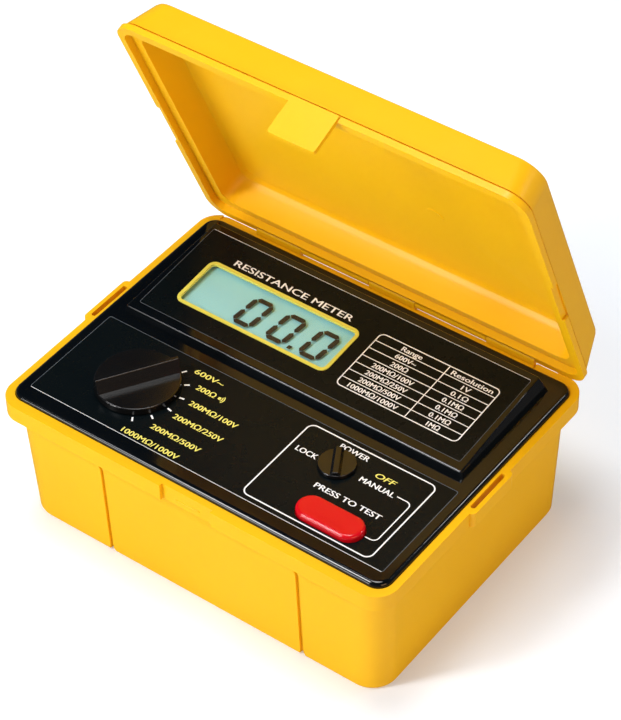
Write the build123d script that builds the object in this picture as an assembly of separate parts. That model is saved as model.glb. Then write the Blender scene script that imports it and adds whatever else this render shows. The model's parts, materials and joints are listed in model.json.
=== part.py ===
from build123d import *

import os

# Portable digital insulation resistance tester in a moulded case with a hinged lid.
# Millimetres. X runs along the front, Y to the back, Z up.
# The origin is on the standing plane, under the middle of the case.

# Overall case
CASE_W = 198.0
CASE_D = 148.0
RIM_Z = 66.2
BASE_Z = 0.3
WALL = 2.6
FLOOR_TOP = BASE_Z + 2.6
RIM_R = 10.5
BAND_Z = 57.8
WAIST_Z = 50.0
BAND_INSET = 2.2
WAIST_INSET = 4.4
BASE_INSET = 6.0
BASE_ROUND = 1.3

# Control panel set into the case mouth
PANEL_X = 95.4
PANEL_Y = 69.05
PANEL_R = 6.5
PANEL_Z = 68.3
PANEL_SKIRT_Z = 62.1
PANEL_UNDER_Z = 66.0
SEAT_GAP = 0.2
SHEET_T = 0.3

# Raised, tilted display deck at the back of the panel
DECK_Z0 = 71.9
DECK_SLOPE = 0.08
DECK_FRONT_Y = -2.0
DECK_REAR_Y = 58.0
DECK_X = 85.5
DECK_T = 2.5
DECK_PLANE = Plane(origin=(0, 0, DECK_Z0), x_dir=(1, 0, 0), z_dir=(0, -DECK_SLOPE, 1))

# Display, in the deck's own plane
LCD_X = -31.6
LCD_Y = 25.4
BEZEL_W = 79.8
BEZEL_H = 27.6
BEZEL_R = 3.8
BEZEL_LINE = 1.6

# Controls
RANGE_XY = (-53.7, -35.0)
RANGE_R = 18.5
RANGE_REST_DEG = 57.5
POWER_XY = (41.7, -25.0)
POWER_R = 8.2
POWER_REST_DEG = 120.0
BUTTON_XY = (57.3, -51.0)
BUTTON_L = 31.5
BUTTON_W = 13.0
BUTTON_TOP = 71.1
SHAFT_R = 3.0
TIP_R = 1.6
RUNNING = 0.06

# Hinge
HINGE_Y = 73.8
HINGE_Z = 67.7
KNUCKLE_R = 2.1
PIN_R = 1.0
CASE_KNUCKLES = ((-73.0, -49.0), (-12.0, 12.0), (49.0, 73.0))
LID_KNUCKLES = ((-48.6, -12.4), (12.4, 48.6))
REAR_CUTS = ((-92.5, -73.4), (73.4, 84.0))
REAR_CUT_Z = 65.4

# Lid, drawn closed and then swung open
LID_Z = 66.5
LID_TOP = 86.1
LID_BAND = 2.9
LID_INSET = 4.9
LID_OPEN_DEG = 67.9
LEDGE_Z = 69.7
LEDGE_W = 4.9
NOTCH_HALF = 13.6
NOTCH_Y = 3.0

# Latch at the middle of the front, a little to the right
LATCH_X = 1.7
LATCH_RECESS_W = 25.8
TAB_W = 22.7
TAB_Z = 50.8
RECESS_Y = -72.3

# Carrying strap slots in the sides
SLOT_HALF = 11.4
SLOT_X = (97.0, 99.2)
BULGE_HALF = 14.6
BULGE_X = 101.1

# Boards and fixings
BOARD_TOP = 47.6
BOARD_T = 1.6
POSTS = ((-82.0, -56.0), (82.0, -56.0), (-82.0, 56.0), (82.0, 56.0))
POST_TOP = 41.7
POST_SHOULDER = 30.0
BOARD_POSTS = ((-70.0, -56.0), (30.0, -56.0), (-68.0, 52.0), (68.0, 52.0))
FEET = ((-66.0, -54.0), (66.0, -54.0), (-66.0, 48.0), (66.0, 48.0))
FOOT_R = 6.0

# Battery compartment, opened from below: two lines of four cells
CELL_R = 7.1
CELL_LEN = 49.0
CELL_PITCH = 15.2
CELL_Y0 = 6.2
CELL_Z = 10.7
BAY_X = 53.5
BAY_Y = (-2.0, 60.2)
BAY_ROOF = 19.4
COVER_SCREWS = ((-40.0, -6.3), (40.0, -6.3))

# Test lead sockets in the back wall
JACKS = {"line": -30.0, "earth": -52.0}
JACK_Z = 38.0
JACK_PAD_Y = 70.4
JACK_BORE_R = 2.0
JACK_BORE_LEN = 15.0


def slab(width, depth, radius, low, high, x=0.0, y=0.0):
    """A rounded rectangular block between two heights."""
    shape = extrude(RectangleRounded(width, depth, radius), high - low)
    return Pos(x, y, low) * shape


def block(x0, x1, y0, y1, z0, z1):
    """A plain block between two corners."""
    size = Box(x1 - x0, y1 - y0, z1 - z0)
    return Pos((x0 + x1) / 2, (y0 + y1) / 2, (z0 + z1) / 2) * size


def rod(radius, low, high, x=0.0, y=0.0):
    """An upright cylinder between two heights."""
    return Pos(x, y, (low + high) / 2) * Cylinder(radius, high - low)


def rod_x(radius, x0, x1, y, z):
    """A cylinder along X."""
    return Pos((x0 + x1) / 2, y, z) * Rot(0, 90, 0) * Cylinder(radius, x1 - x0)


def rod_y(radius, y0, y1, x, z):
    """A cylinder along Y."""
    return Pos(x, (y0 + y1) / 2, z) * Rot(90, 0, 0) * Cylinder(radius, y1 - y0)


def shell_form(sections):
    """A tapering block through rounded rectangles given as (z, half width, half depth, radius, y)."""
    faces = [Pos(0, y, z) * RectangleRounded(2 * hx, 2 * hy, r) for z, hx, hy, r, y in sections]
    parts = [loft([low, high], ruled=True) for low, high in zip(faces, faces[1:])]
    form = parts[0]
    for piece in parts[1:]:
        form += piece
    return form


def case_section(z, inset, radius):
    """One rounded outline of the case, set in from the rim."""
    return (z, CASE_W / 2 - inset, CASE_D / 2 - inset, radius, 0.0)


def lid_swing(shape):
    """Swings a piece drawn in the closed position to the lid's rest position."""
    return shape.rotate(Axis((0, HINGE_Y, HINGE_Z), (-1, 0, 0)), LID_OPEN_DEG)


def deck(shape):
    """Places a piece drawn flat onto the tilted deck."""
    return DECK_PLANE * shape


def case_outside():
    """The outer form: a tapering body under an upright band, with a softened bottom edge."""
    round_in = BASE_INSET + BASE_ROUND
    body = shell_form(
        [
            case_section(BASE_Z, round_in, 10.5),
            case_section(BASE_Z + 0.3 * BASE_ROUND, BASE_INSET + 0.3 * BASE_ROUND, 11.6),
            case_section(BASE_Z + BASE_ROUND, BASE_INSET, 12.0),
            case_section(WAIST_Z, WAIST_INSET, 12.0),
            case_section(BAND_Z, BAND_INSET, 10.8),
        ]
    )
    band = slab(CASE_W, CASE_D, RIM_R, BAND_Z, RIM_Z)
    lower = [edge for edge in band.edges() if abs(edge.center().Z - BAND_Z) < 0.01]
    return body + chamfer(lower, 0.3)


def case_inside():
    """The hollow of the case below the panel's seat."""
    inner = 6.5
    return shell_form(
        [
            case_section(FLOOR_TOP, BASE_INSET + WALL + 0.4, 12.0),
            case_section(WAIST_Z, inner, 10.0),
            case_section(PANEL_SKIRT_Z, inner, 10.0),
        ]
    )


def strap_bulges():
    """Loops for the carrying strap, one on each side of the band."""
    loops = None
    for side in (-1, 1):
        edge = side * CASE_W / 2
        loop = slab(2 * (BULGE_X - CASE_W / 2) + 6, 2 * BULGE_HALF, 2.2, BAND_Z + 0.9, RIM_Z, edge - side * 3)
        loops = loop if loops is None else loops + loop
    return loops


def strap_slots():
    """Upright slots that the strap runs through."""
    slots = None
    for side in (-1, 1):
        x0, x1 = sorted((side * SLOT_X[0], side * SLOT_X[1]))
        slot = slab(x1 - x0, 2 * SLOT_HALF, 1.0, BAND_Z - 6, RIM_Z + 1, (x0 + x1) / 2)
        slots = slot if slots is None else slots + slot
    return slots


def front_groove(x):
    """A narrow upright groove in the front wall that follows its slope."""
    depth = 1.2
    waist_y = -(CASE_D / 2 - WAIST_INSET)
    base_y = -(CASE_D / 2 - BASE_INSET)
    band_y = -(CASE_D / 2 - BAND_INSET)
    front = -CASE_D / 2 - 1
    outline = Polyline(
        (front, BASE_Z - 1),
        (base_y + depth + 1.5, BASE_Z - 1),
        (base_y + depth, BASE_Z + BASE_ROUND),
        (waist_y + depth, WAIST_Z),
        (band_y + depth, BAND_Z),
        (front, BAND_Z),
        close=True,
    )
    face = make_face(Plane.YZ * outline)
    groove = Pos(x - 0.9, 0, 0) * extrude(face, 1.8, dir=(1, 0, 0))
    return groove + block(x - 1.5, x + 1.5, front, base_y + 2.2, BASE_Z - 1, BASE_Z + 2.0)


def case_tub():
    """The lower case: band, body, strap loops, hinge knuckles, screw posts and battery bay."""
    tub = case_outside() + strap_bulges()
    tub -= case_inside()
    seat = slab(2 * (PANEL_X + SEAT_GAP), 2 * (PANEL_Y + SEAT_GAP), PANEL_R + SEAT_GAP, PANEL_SKIRT_Z, RIM_Z + 1)
    tub -= seat
    tub -= strap_slots()
    for x in (-46.3, 54.1):
        tub -= front_groove(x)
    recess_x = (LATCH_X - LATCH_RECESS_W / 2, LATCH_X + LATCH_RECESS_W / 2)
    tub -= block(*recess_x, -CASE_D / 2 - 1, RECESS_Y, BAND_Z - 0.6, RIM_Z + 1)
    for x0, x1 in REAR_CUTS:
        tub -= block(x0, x1, PANEL_Y + SEAT_GAP + 0.9, CASE_D / 2 + 1, REAR_CUT_Z, RIM_Z + 1)
    tub -= block(-73.5, 73.5, HINGE_Y - KNUCKLE_R - 0.5, CASE_D / 2 + 1, HINGE_Z - 3.6, RIM_Z + 1)
    inside = case_outside()
    posts = None
    for x, y in POSTS:
        post = rod(5.0, BASE_Z + 0.2, POST_TOP, x, y)
        posts = post if posts is None else posts + post
    tub += posts & inside
    bay = block(-BAY_X - 2.4, BAY_X + 2.4, -10.5, BAY_Y[1] + 2.0, BASE_Z, BAY_ROOF + 1.6)
    tub += bay
    tub -= block(-BAY_X, BAY_X, *BAY_Y, BASE_Z - 1, BAY_ROOF)
    tub -= block(-55.0, 55.0, -9.9, 61.5, BASE_Z - 1, BASE_Z + 2.0)
    for x, y in POSTS:
        tub -= rod(3.3, BASE_Z - 1, POST_SHOULDER, x, y)
        tub -= rod(1.55, POST_SHOULDER - 1, POST_TOP + 1, x, y)
    for x, y in FEET:
        tub -= rod(FOOT_R + 0.05, BASE_Z - 1, BASE_Z + 1.0, x, y)
    for x, y in COVER_SCREWS:
        tub -= rod(1.55, BASE_Z, 12.5, x, y)
    tub += hinge_barrels(CASE_KNUCKLES, HINGE_Z - 3.8)
    pad = block(-62.5, -19.5, 66.0, JACK_PAD_Y, 26.5, 49.5)
    upright = [edge for edge in pad.edges().filter_by(Axis.Y)]
    tub += fillet(upright, 4.0)
    for x in JACKS.values():
        tub -= rod_y(4.75, 60.0, 72.0, x, JACK_Z)
        tub -= block(x - 8.5, x + 8.5, 55.0, 67.4, JACK_Z - 8.5, JACK_Z + 8.5)
    bump = Pos(LATCH_X, RECESS_Y, 60.7) * Rot(0, 90, 0) * Cylinder(0.35, 12.0)
    return tub + bump


def hinge_barrels(spans, web_low):
    """Hinge knuckles on the case, with webs down to its back wall."""
    barrels = None
    for x0, x1 in spans:
        barrel = rod_x(KNUCKLE_R, x0, x1, HINGE_Y, HINGE_Z)
        web = block(x0, x1, HINGE_Y - KNUCKLE_R + 0.1, HINGE_Y + 0.2, web_low, HINGE_Z)
        knuckle = barrel + web - rod_x(PIN_R, x0 - 1, x1 + 1, HINGE_Y, HINGE_Z)
        barrels = knuckle if barrels is None else barrels + knuckle
    return barrels


def hinge_pin():
    """A steel pin through all the knuckles."""
    return rod_x(PIN_R, -72.6, 72.6, HINGE_Y, HINGE_Z)


def lid():
    """The lid with its rim band, rebate, knuckles and latch tab, swung open."""
    wall_z = LID_Z + LID_BAND
    outside = shell_form(
        [
            (wall_z + 0.8, CASE_W / 2 - 0.9, CASE_D / 2 - 0.9, 10.2, 0.0),
            (LID_TOP - 1.7, CASE_W / 2 - LID_INSET + 0.6, CASE_D / 2 - LID_INSET + 0.6, 11.5, 0.0),
            (LID_TOP - 0.5, CASE_W / 2 - LID_INSET - 0.1, CASE_D / 2 - LID_INSET - 0.1, 10.9, 0.0),
            (LID_TOP, CASE_W / 2 - LID_INSET - 1.5, CASE_D / 2 - LID_INSET - 1.5, 9.6, 0.0),
        ]
    )
    band = slab(CASE_W, CASE_D, RIM_R, LID_Z, wall_z)
    upper = [edge for edge in band.edges() if abs(edge.center().Z - wall_z) < 0.01]
    shadow_line = slab(CASE_W - 3.8, CASE_D - 3.8, RIM_R - 1.9, wall_z - 0.5, wall_z + 1.0)
    form = outside + chamfer(upper, 0.3) + shadow_line
    ledge_x = 95.8 - LEDGE_W
    ledge_y = 69.5 - LEDGE_W
    hollow = shell_form(
        [
            (LEDGE_Z, ledge_x, ledge_y, 7.0, 0.1),
            (LID_TOP - 6.8, ledge_x - 0.9, ledge_y - 0.9, 6.5, 0.1),
            (LID_TOP - 3.8, ledge_x - 2.5, ledge_y - 2.5, 5.5, 0.1),
            (LID_TOP - 2.4, ledge_x - 6.2, ledge_y - 6.2, 3.0, 0.1),
        ]
    )
    rebate = slab(191.6, 139.0, 6.9, LID_Z - 1, LEDGE_Z, 0.0, 0.1)
    form -= hollow
    form -= rebate
    for side in (-1, 1):
        x0, x1 = sorted((side * 97.5, side * 105.0))
        y0, y1 = NOTCH_Y - NOTCH_HALF, NOTCH_Y + NOTCH_HALF
        form -= block(x0, x1, y0, y1, LID_Z - 1, wall_z + 0.2)
    for x0, x1 in CASE_KNUCKLES:
        form -= rod_x(KNUCKLE_R + 0.45, x0 - 0.4, x1 + 0.4, HINGE_Y, HINGE_Z)
        relief = HINGE_Y - KNUCKLE_R - 0.5
        form -= block(x0 - 0.4, x1 + 0.4, relief, HINGE_Y + 5, LID_Z - 1, HINGE_Z)
    for x0, x1 in LID_KNUCKLES:
        barrel = rod_x(KNUCKLE_R, x0, x1, HINGE_Y, HINGE_Z)
        web = block(x0, x1, HINGE_Y - 2.9, HINGE_Y + 0.1, HINGE_Z, HINGE_Z + 4.5)
        form += barrel + web
        form -= rod_x(PIN_R + RUNNING, x0 - 1, x1 + 1, HINGE_Y, HINGE_Z)
    form += latch_tab()
    gate = Pos(26.1, 13.3, LID_TOP - 2.6) * extrude(Circle(4.2), 0.5)
    return lid_swing(form + gate)


def latch_tab():
    """The springy tab on the lid's front edge, with a groove for the catch on its inner side."""
    x0 = LATCH_X - TAB_W / 2
    x1 = LATCH_X + TAB_W / 2
    inner = RECESS_Y - 0.45
    tab = block(x0, x1, inner - 2.2, inner, TAB_Z, LID_Z + LID_BAND - 0.5)
    corners = [edge for edge in tab.edges().filter_by(Axis.Y) if edge.center().Z < TAB_Z + 1]
    tab = fillet(corners, 1.2)
    groove = rod_x(0.65, x0 + 4, x1 - 4, inner + 0.15, 60.7)
    return tab - groove


def deck_block(shrink, low):
    """The raised wedge, drawn smaller by a wall for its hollow."""
    top = DECK_Z0 - shrink
    front = DECK_FRONT_Y + shrink
    rear = DECK_REAR_Y - shrink
    side_outline = Polyline(
        (front - (top - low) * 0.25, low),
        (front, top + DECK_SLOPE * front),
        (rear, top + DECK_SLOPE * rear),
        (rear + 3.0, low),
        close=True,
    )
    wedge = Pos(-100, 0, 0) * extrude(make_face(Plane.YZ * side_outline), 200, dir=(1, 0, 0))
    half = DECK_X - shrink
    spread = 2.4
    front_outline = Polyline(
        (-half - spread, low),
        (half + spread, low),
        (half - 1.2, top + 5.0),
        (-half + 1.2, top + 5.0),
        close=True,
    )
    prism = Pos(0, 90, 0) * extrude(make_face(Plane.XZ * front_outline), 180, dir=(0, -1, 0))
    return wedge & prism


def stadium_hole(length, width, low, high, xy):
    """A slot-shaped block with round ends."""
    return Pos(xy[0], xy[1], low) * extrude(SlotOverall(length, width), high - low)


def control_panel():
    """The black moulded panel: rounded lip, display deck, apertures and bosses beneath."""
    panel = slab(2 * PANEL_X, 2 * PANEL_Y, PANEL_R, PANEL_SKIRT_Z, PANEL_Z)
    top = [edge for edge in panel.edges() if abs(edge.center().Z - PANEL_Z) < 0.01]
    panel = fillet(top, 2.1)
    wedge = deck_block(0.0, PANEL_Z - 1.0)
    rims = [edge for edge in wedge.edges() if edge.center().Z > PANEL_Z + 0.5]
    wedge = fillet(rims, 0.9)
    panel += wedge
    panel -= slab(2 * PANEL_X - 5.0, 2 * PANEL_Y - 5.0, 4.0, PANEL_SKIRT_Z - 1, PANEL_UNDER_Z)
    panel -= deck_block(DECK_T, PANEL_UNDER_Z - 1.0)
    for x, y in POSTS:
        roof = PANEL_UNDER_Z + 0.5 if y < 0 else 69.8
        panel += rod(4.0, POST_TOP, roof, x, y)
        panel -= rod(1.5, POST_TOP - 1, 56.0, x, y)
    for x, y in BOARD_POSTS:
        roof = PANEL_UNDER_Z + 0.5 if y < 0 else DECK_Z0 + DECK_SLOPE * y - DECK_T + 0.3
        panel += rod(3.2, BOARD_TOP, roof, x, y)
        panel -= rod(1.25, BOARD_TOP - 1, 56.0, x, y)
    panel -= slab(180.4, 53.0, 1.2, PANEL_Z - SHEET_T - 0.05, PANEL_Z + 0.5, 0, -35.3)
    recess = Pos(0, 28.4, -SHEET_T - 0.05) * extrude(RectangleRounded(166.0, 52.8, 1.0), 5)
    panel -= deck(recess)
    panel -= deck(Pos(LCD_X, LCD_Y, -8) * extrude(RectangleRounded(BEZEL_W + 0.2, BEZEL_H + 0.2, BEZEL_R + 0.1), 12))
    for xy, radius in ((RANGE_XY, 4.75), (POWER_XY, 3.75)):
        panel -= rod(radius, PANEL_UNDER_Z - 2, PANEL_Z + 1, *xy)
    panel -= stadium_hole(BUTTON_L + 0.6, BUTTON_W + 0.6, PANEL_UNDER_Z - 2, PANEL_Z + 1, BUTTON_XY)
    return panel


def lower_faceplate():
    """The thin printed sheet around the controls."""
    low = PANEL_Z - SHEET_T - 0.05
    sheet = slab(180.0, 52.6, 1.0, low, low + SHEET_T, 0, -35.3)
    for xy, radius in ((RANGE_XY, 7.4), (POWER_XY, 6.4)):
        sheet -= rod(radius, low - 1, PANEL_Z + 1, *xy)
    return sheet - stadium_hole(BUTTON_L + 0.8, BUTTON_W + 0.8, low - 1, PANEL_Z + 1, BUTTON_XY)


def upper_faceplate():
    """The thin printed sheet on the deck, around the display."""
    sheet = Pos(0, 28.4, -SHEET_T - 0.05) * extrude(RectangleRounded(165.6, 52.4, 0.8), SHEET_T)
    opening = Pos(LCD_X, LCD_Y, -2) * extrude(RectangleRounded(BEZEL_W + 0.2, BEZEL_H + 0.2, BEZEL_R + 0.1), 4)
    return deck(sheet - opening)


def lcd_bezel():
    """The yellow ring around the display."""
    ring = extrude(RectangleRounded(BEZEL_W, BEZEL_H, BEZEL_R), 1.25)
    width = BEZEL_W - 2 * BEZEL_LINE
    height = BEZEL_H - 2 * BEZEL_LINE
    ring -= Pos(0, 0, -1) * extrude(RectangleRounded(width, height, BEZEL_R - BEZEL_LINE), 4)
    return deck(Pos(LCD_X, LCD_Y, -1.0) * ring)


def lcd_window():
    """The clear window under the ring."""
    return deck(Pos(LCD_X, LCD_Y, -2.4) * extrude(RectangleRounded(BEZEL_W, BEZEL_H, BEZEL_R), 1.35))


def lcd_glass():
    """The liquid crystal cell."""
    return deck(Pos(LCD_X, LCD_Y, -5.4) * extrude(RectangleRounded(84.0, 31.0, 0.6), 2.8))


def lcd_holder():
    """The moulded frame that holds the liquid crystal cell against the deck."""
    frame = extrude(RectangleRounded(88.0, 35.0, 1.5), 4.6)
    frame -= Pos(0, 0, 1.8) * extrude(Rectangle(84.2, 31.2), 6)
    frame -= Pos(0, 0, -1) * extrude(Rectangle(78.0, 19.0), 6)
    for y in (-12.4, 12.4):
        frame -= Pos(0, y, -1) * extrude(Rectangle(78.0, 2.6), 4)
    return deck(Pos(LCD_X, LCD_Y, -7.2) * frame)


def contact_strips():
    """Two elastomer strips between the display cell and its board."""
    strip = extrude(Rectangle(77.6, 2.2), 3.0)
    low = Pos(LCD_X, LCD_Y - 12.4, -8.4) * strip
    high = Pos(LCD_X, LCD_Y + 12.4, -8.4) * strip
    return deck(Compound([low, high]))


def display_board():
    """The small board behind the display."""
    return deck(Pos(LCD_X, LCD_Y, -10.0) * extrude(RectangleRounded(92.0, 38.0, 1.0), 1.6 - 0.05))


def display_chip():
    """The converter and display driver in its flat package."""
    body = Pos(LCD_X, LCD_Y, -12.1) * extrude(Rectangle(20.0, 14.0), 2.0)
    return deck(body)


def knob_bar(xy, low, high, length, foot, ridge, angle):
    """A finger grip across a knob, narrowing to its ridge."""
    outline = Polyline((-foot / 2, low), (foot / 2, low), (ridge / 2, high), (-ridge / 2, high), close=True)
    bar = extrude(make_face(Plane.YZ * outline), length, dir=(1, 0, 0))
    bar = Pos(-length / 2, 0, 0) * bar
    return Pos(xy[0], xy[1], 0) * Rot(0, 0, angle) * bar


def tapered_disc(xy, low, high, foot_r, top_r):
    """A round skirt, a little narrower at its top."""
    cone = Cone(foot_r, top_r, high - low)
    return Pos(xy[0], xy[1], (low + high) / 2) * cone


def range_knob():
    """The range knob: a low round disc, hollow beneath, with a tall finger grip across it."""
    low = PANEL_Z + 0.5
    disc = tapered_disc(RANGE_XY, low, 71.7, RANGE_R, RANGE_R - 0.2)
    disc = fillet([e for e in disc.edges() if e.center().Z > 71.6], 0.5)
    bar = knob_bar(RANGE_XY, 71.2, 77.6, 2 * RANGE_R - 0.4, 7.0, 1.8, RANGE_REST_DEG)
    ends = [e for e in bar.edges() if e.center().Z > 71.5]
    bar = fillet(ends, 0.35)
    knob = disc + bar - rod(14.5, low - 1, 70.2, *RANGE_XY)
    return knob - rod(TIP_R, low - 1, 74.0, *RANGE_XY)


def range_shaft():
    """The spindle, with a slimmer end that the range knob is pressed onto."""
    return rod(SHAFT_R, 51.6, 70.1, *RANGE_XY) + rod(TIP_R, 70.0, 74.0, *RANGE_XY)


def range_wiper():
    """The rotor on the spindle, with two contact arms."""
    hub = rod(8.0, 52.4, 55.4, *RANGE_XY)
    arms = knob_bar(RANGE_XY, 51.9, 52.5, 20.0, 3.0, 3.0, RANGE_REST_DEG)
    return hub + arms - rod(SHAFT_R, 50, 60, *RANGE_XY)


def rotary_body(xy, radius, bush_r, low, cavity_r):
    """A rotary switch's housing with its threaded bushing."""
    housing = rod(radius, low, 61.5, *xy) + rod(bush_r, 61.4, 69.7, *xy)
    housing -= rod(cavity_r, low + 1.6, 57.4, *xy)
    return housing - rod(SHAFT_R + RUNNING, low + 2, 72.0, *xy)


def range_switch_body():
    """The range switch's housing, standing on the main board."""
    return rotary_body(RANGE_XY, 13.0, 4.5, BOARD_TOP + 1.6, 11.2)


def hex_nut(xy, across, bore, low, high):
    """A hexagonal nut."""
    ring = extrude(RegularPolygon(across / 2, 6, major_radius=False), high - low)
    return Pos(xy[0], xy[1], low) * ring - rod(bore, low - 1, high + 1, *xy)


def range_switch_nut():
    """The nut that clamps the range switch to the panel."""
    return hex_nut(RANGE_XY, 12.0, 4.5, PANEL_Z - 0.35, PANEL_Z + 1.2)


def power_knob():
    """The low three-position power knob with its finger grip."""
    low = PANEL_Z + 0.4
    disc = tapered_disc(POWER_XY, low, 70.1, POWER_R, POWER_R - 0.2)
    disc = fillet([e for e in disc.edges() if e.center().Z > 70.0], 0.4)
    bar = knob_bar(POWER_XY, 69.7, 71.7, 2 * POWER_R - 1.2, 5.0, 2.2, POWER_REST_DEG)
    bar = fillet([e for e in bar.edges() if e.center().Z > 70.4], 0.35)
    knob = disc + bar - rod(6.3, low - 1, 69.3, *POWER_XY)
    return knob - rod(1.2, low - 1, 70.8, *POWER_XY)


def power_shaft():
    """The spindle under the power knob, with a slimmer end."""
    return rod(2.2, 51.6, 69.2, *POWER_XY) + rod(1.2, 69.1, 70.8, *POWER_XY)


def power_wiper():
    """The rotor of the power switch."""
    return rod(5.0, 52.4, 55.4, *POWER_XY) - rod(2.2, 50, 60, *POWER_XY)


def power_switch_body():
    """The power switch's housing and bushing."""
    housing = rod(8.0, BOARD_TOP + 1.6, 61.5, *POWER_XY) + rod(3.5, 61.4, 69.0, *POWER_XY)
    housing -= rod(6.4, BOARD_TOP + 3.2, 57.4, *POWER_XY)
    return housing - rod(2.2 + RUNNING, BOARD_TOP + 3.6, 72.0, *POWER_XY)


def power_switch_nut():
    """The nut that clamps the power switch to the panel."""
    return hex_nut(POWER_XY, 9.6, 3.5, PANEL_Z - 0.35, PANEL_Z + 0.6)


def switch_pins():
    """Solder pins of the two rotary switches, down through the main board."""
    pins = []
    for xy, ring, count in ((RANGE_XY, 10.5, 12), (POWER_XY, 6.0, 6)):
        for place in PolarLocations(ring, count):
            pin = rod(0.4, BOARD_TOP - BOARD_T - 1.5, BOARD_TOP + 1.6)
            pins.append(Pos(xy[0], xy[1], 0) * place * pin)
    return Compound(pins)


def test_button():
    """The long red test button, domed on top, with a retaining flange beneath."""
    crown = stadium_hole(BUTTON_L, BUTTON_W, PANEL_UNDER_Z - 1.2, BUTTON_TOP, BUTTON_XY)
    crown = fillet([e for e in crown.edges() if e.center().Z > BUTTON_TOP - 0.01], 1.6)
    flange = stadium_hole(BUTTON_L + 3.0, BUTTON_W + 3.0, PANEL_UNDER_Z - 1.4, PANEL_UNDER_Z - 0.1, BUTTON_XY)
    return crown + flange


def test_plunger():
    """The stem under the test button that works its switch."""
    return rod(2.5, 56.5, PANEL_UNDER_Z - 1.4, *BUTTON_XY)


def test_spring():
    """The return spring around the stem."""
    low = 55.2
    high = PANEL_UNDER_Z - 1.45
    wire = 0.35
    path = Helix(pitch=(high - low - 2 * wire) / 6, height=high - low - 2 * wire, radius=3.6)
    start = Plane(origin=path @ 0, z_dir=path % 0)
    coil = sweep(start * Circle(wire), path, is_frenet=True)
    return Pos(BUTTON_XY[0], BUTTON_XY[1], low + wire) * coil


def test_switch():
    """The momentary switch under the test button."""
    x, y = BUTTON_XY
    body = block(x - 6, x + 6, y - 6, y + 6, BOARD_TOP, 55.1)
    return body - rod(2.6, 52.0, 56, x, y)


def main_board():
    """The main circuit board, hung from the panel."""
    board = slab(150.0, 122.0, 3.0, BOARD_TOP - BOARD_T, BOARD_TOP)
    for x, y in BOARD_POSTS:
        board -= rod(1.45, BOARD_TOP - 4, BOARD_TOP + 1, x, y)
    for xy, ring, count in ((RANGE_XY, 10.5, 12), (POWER_XY, 6.0, 6)):
        for place in PolarLocations(ring, count):
            board -= Pos(xy[0], xy[1], 0) * place * rod(0.45, BOARD_TOP - 4, BOARD_TOP + 1)
    return board


def screw(x, y, head_low, head_high, head_r, shank_r, tip):
    """A pan-head screw pointing up, with a cross recess."""
    body = rod(head_r, head_low, head_high, x, y) + rod(shank_r, head_high - 0.1, tip, x, y)
    arm = head_r * 1.2
    cross = Box(arm, 0.5, 1.4) + Box(0.5, arm, 1.4)
    return body - Pos(x, y, head_low) * cross


def panel_screws():
    """Four screws up through the case posts into the panel."""
    low = POST_SHOULDER - 2.2
    return Compound([screw(x, y, low, POST_SHOULDER, 2.8, 1.45, 54.0) for x, y in POSTS])


def board_screws():
    """Four screws that hold the main board to the panel."""
    top = BOARD_TOP - BOARD_T
    return Compound([screw(x, y, top - 1.8, top, 2.4, 1.2, 54.0) for x, y in BOARD_POSTS])


def cover_screws():
    """Two screws in the battery cover."""
    return Compound([screw(x, y, BASE_Z + 0.2, BASE_Z + 1.2, 2.6, 1.4, 11.0) for x, y in COVER_SCREWS])


def battery_cover():
    """The flush cover in the underside, with ribs to push against."""
    cover = slab(109.4, 71.0, 1.0, BASE_Z, BASE_Z + 1.95, 0, 25.8)
    for x, y in COVER_SCREWS:
        cover -= rod(2.8, BASE_Z - 1, BASE_Z + 1.2, x, y)
        cover -= rod(1.5, BASE_Z - 1, BASE_Z + 3, x, y)
    for step in range(5):
        y = 44.0 + 3.0 * step
        cover -= slab(30.0, 1.2, 0.5, BASE_Z - 1, BASE_Z + 0.6, 0, y)
    return cover


def rubber_foot(x, y):
    """A round rubber foot let into the underside."""
    foot = rod(FOOT_R, 0.0, BASE_Z + 0.95, x, y)
    return chamfer([e for e in foot.edges() if e.center().Z < 0.01], 0.3)


def battery_cell(row, column):
    """One AA cell lying along X."""
    y = CELL_Y0 + row * CELL_PITCH
    turn = 1 if row % 2 == 0 else -1
    start = -BAY_X + 2.6 + column * (CELL_LEN + 1.6)
    if turn < 0:
        start += 1.2
    can = rod_x(CELL_R, start, start + CELL_LEN, y, CELL_Z)
    can = fillet([e for e in can.edges() if e.length > 40], 0.5)
    end = start + CELL_LEN if turn > 0 else start
    nub = sorted((end, end + turn * 1.2))
    return can + rod_x(2.7, nub[0] - 0.05, nub[1] + 0.05, y, CELL_Z)


def battery_contacts():
    """Spring leaf contacts at both ends of each line of cells."""
    leaves = []
    for row in range(4):
        y = CELL_Y0 + row * CELL_PITCH
        for side in (-1, 1):
            wall = side * (BAY_X - 0.25)
            plate = Pos(wall, y, CELL_Z) * Box(0.5, 11.0, 11.0)
            bow = Pos(wall - side * 0.8, y, CELL_Z) * Box(1.2, 5.0, 4.0)
            leaves.append(plate + bow)
    return Compound(leaves)


def jack_housing(x):
    """An insulating socket housing through the back wall."""
    flange = rod_y(6.5, JACK_PAD_Y, JACK_PAD_Y + 2.2, x, JACK_Z)
    flange = fillet([e for e in flange.edges() if e.center().Y > JACK_PAD_Y + 2.1], 0.6)
    sleeve = rod_y(4.6, 54.0, JACK_PAD_Y + 0.1, x, JACK_Z)
    return flange + sleeve - rod_y(3.0, 50.0, 75.0, x, JACK_Z)


def jack_socket(x):
    """The metal tube that takes a 4 mm test plug."""
    mouth = JACK_PAD_Y + 1.4
    tube = rod_y(3.0, mouth - JACK_BORE_LEN - 2.0, mouth, x, JACK_Z)
    tail = rod_y(1.0, 48.0, mouth - JACK_BORE_LEN - 1.9, x, JACK_Z)
    return tube + tail - rod_y(JACK_BORE_R, mouth - JACK_BORE_LEN, mouth + 1, x, JACK_Z)


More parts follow.
